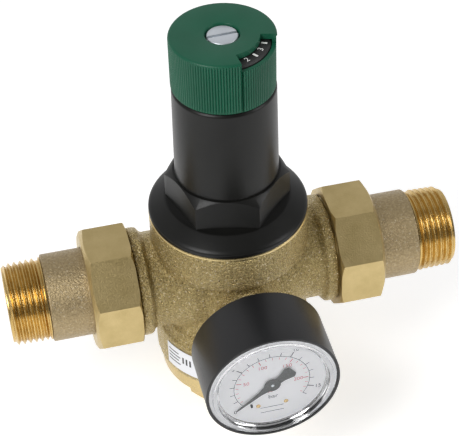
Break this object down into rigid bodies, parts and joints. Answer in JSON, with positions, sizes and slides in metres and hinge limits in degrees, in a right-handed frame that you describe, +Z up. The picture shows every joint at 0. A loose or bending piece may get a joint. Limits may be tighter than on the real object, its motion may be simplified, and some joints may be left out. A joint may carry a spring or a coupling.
{
  "type": "pressure reducing valve",
  "caption": "Water pressure reducing valve with threaded union ends, adjusting knob on a spring bonnet, pressure gauge and filter bowl.",
  "frame": {"origin": "where the pipe axis crosses the bonnet axis", "axes": "+X along the pipe to the outlet, +Z up the bonnet to the knob, -Y to the gauge"},
  "size_m": [0.18, 0.1094, 0.1765],
  "materials": {
    "cast_brass": "rough blasted casting",
    "nut_brass": "satin forged",
    "bright_brass": "machined",
    "tail_brass": "dull cast",
    "black_plastic": "satin moulded",
    "green_plastic": "satin moulded",
    "dial_plastic": "matt with white numerals",
    "zinc_steel": "zinc plated",
    "stainless": "satin",
    "spring_steel": "drawn wire",
    "rubber_black": "moulded",
    "fibre_seal": "pressed",
    "insert_plastic": "moulded",
    "label_film": "printed film",
    "gauge_black": "satin paint",
    "lens_clear": "clear moulded",
    "dial_white": "printed face",
    "pointer_grey": "matt"
  },
  "bodies": {
    "housing": {"valve_body": "cast_brass", "label": "label_film", "bonnet": "black_plastic", "slip_ring": "insert_plastic", "diaphragm": "rubber_black", "insert_cage": "insert_plastic", "seat_ring": "stainless", "insert_o_ring": "rubber_black", "adjusting_spring": "spring_steel", "thrust_washer": "insert_plastic", "inlet_tail": "tail_brass", "outlet_tail": "tail_brass", "inlet_washer": "fibre_seal", "outlet_washer": "fibre_seal", "gauge_socket": "bright_brass", "gauge_port_seal": "fibre_seal", "gauge_case": "gauge_black", "gauge_lens": "lens_clear", "gauge_dial": "dial_white", "pointer_stop": "pointer_grey", "movement_plates": "bright_brass", "bourdon_tube": "bright_brass", "rear_plug": "bright_brass", "rear_plug_seal": "fibre_seal"},
    "spring_plate": {"spring_plate": "bright_brass"},
    "valve_stem": {"valve_stem": "stainless", "piston_o_ring": "rubber_black", "valve_disc_holder": "bright_brass", "valve_seal": "rubber_black", "diaphragm_plate": "stainless", "diaphragm_washer": "stainless", "stem_nut": "zinc_steel"},
    "knob": {"adjusting_knob": "green_plastic", "dial_carrier": "insert_plastic", "spindle": "stainless"},
    "setting_dial": {"setting_dial": "dial_plastic"},
    "knob_screw": {"knob_screw": "zinc_steel"},
    "bowl_seal": {"bowl_o_ring": "rubber_black", "filter_frame": "insert_plastic", "filter_mesh": "stainless"},
    "bowl": {"filter_bowl": "bright_brass"},
    "inlet_nut": {"inlet_nut": "nut_brass"},
    "outlet_nut": {"outlet_nut": "nut_brass"},
    "pointer": {"gauge_pointer": "pointer_grey", "pinion_shaft": "bright_brass"},
    "sector": {"sector_gear": "bright_brass"}
  },
  "joints": [
    {"name": "knob_turn", "type": "hinge", "parent": "housing", "child": "knob", "pos_m": [0, 0, 0.1], "axis": [0, 0, 1], "range_deg": [-1440, 1440]},
    {"name": "spring_plate_slide", "type": "slide", "parent": "housing", "child": "spring_plate", "axis": [0, 0, 1], "range_m": [-0.006, 0.006], "deforming": ["adjusting_spring"]},
    {"name": "dial_shift", "type": "hinge", "parent": "knob", "child": "setting_dial", "pos_m": [0, 0, 0.108], "axis": [0, 0, 1], "range_deg": [-144, 144]},
    {"name": "knob_screw_turn", "type": "hinge", "parent": "knob", "child": "knob_screw", "pos_m": [0, 0, 0.11], "axis": [0, 0, 1], "range_deg": [0, 360]},
    {"name": "valve_lift", "type": "slide", "parent": "housing", "child": "valve_stem", "axis": [0, 0, 1], "range_m": [0, 0.003], "stiffness_N_per_m": 2000, "springref_m": -0.004, "deforming": ["adjusting_spring", "diaphragm"]},
    {"name": "inlet_nut_turn", "type": "hinge", "parent": "housing", "child": "inlet_nut", "pos_m": [-0.049, 0, 0], "axis": [-1, 0, 0], "continuous": true},
    {"name": "outlet_nut_turn", "type": "hinge", "parent": "housing", "child": "outlet_nut", "pos_m": [0.049, 0, 0], "axis": [1, 0, 0], "continuous": true},
    {"name": "bowl_drop", "type": "slide", "parent": "housing", "child": "bowl_seal", "axis": [0, 0, -1], "range_m": [0, 0.012]},
    {"name": "bowl_turn", "type": "hinge", "parent": "bowl_seal", "child": "bowl", "pos_m": [0, 0, -0.045], "axis": [0, 0, -1], "range_deg": [0, 2880]},
    {"name": "pointer_turn", "type": "hinge", "parent": "housing", "child": "pointer", "pos_m": [0, -0.066, 0.0004], "axis": [0, 1, 0], "range_deg": [0, 256]},
    {"name": "sector_swing", "type": "hinge", "parent": "housing", "child": "sector", "pos_m": [0, -0.057, -0.0116], "axis": [0, 1, 0], "range_deg": [-26, 0]}
  ],
  "couplings": [
    {"joint": "knob_turn", "follows": "spring_plate_slide", "rad_per_m": 4188.8},
    {"joint": "dial_shift", "follows": "spring_plate_slide", "rad_per_m": -418.88},
    {"joint": "bowl_drop", "follows": "bowl_turn", "m_per_rad": 0.00023873},
    {"joint": "sector_swing", "follows": "pointer_turn", "ratio": -0.1}
  ]
}
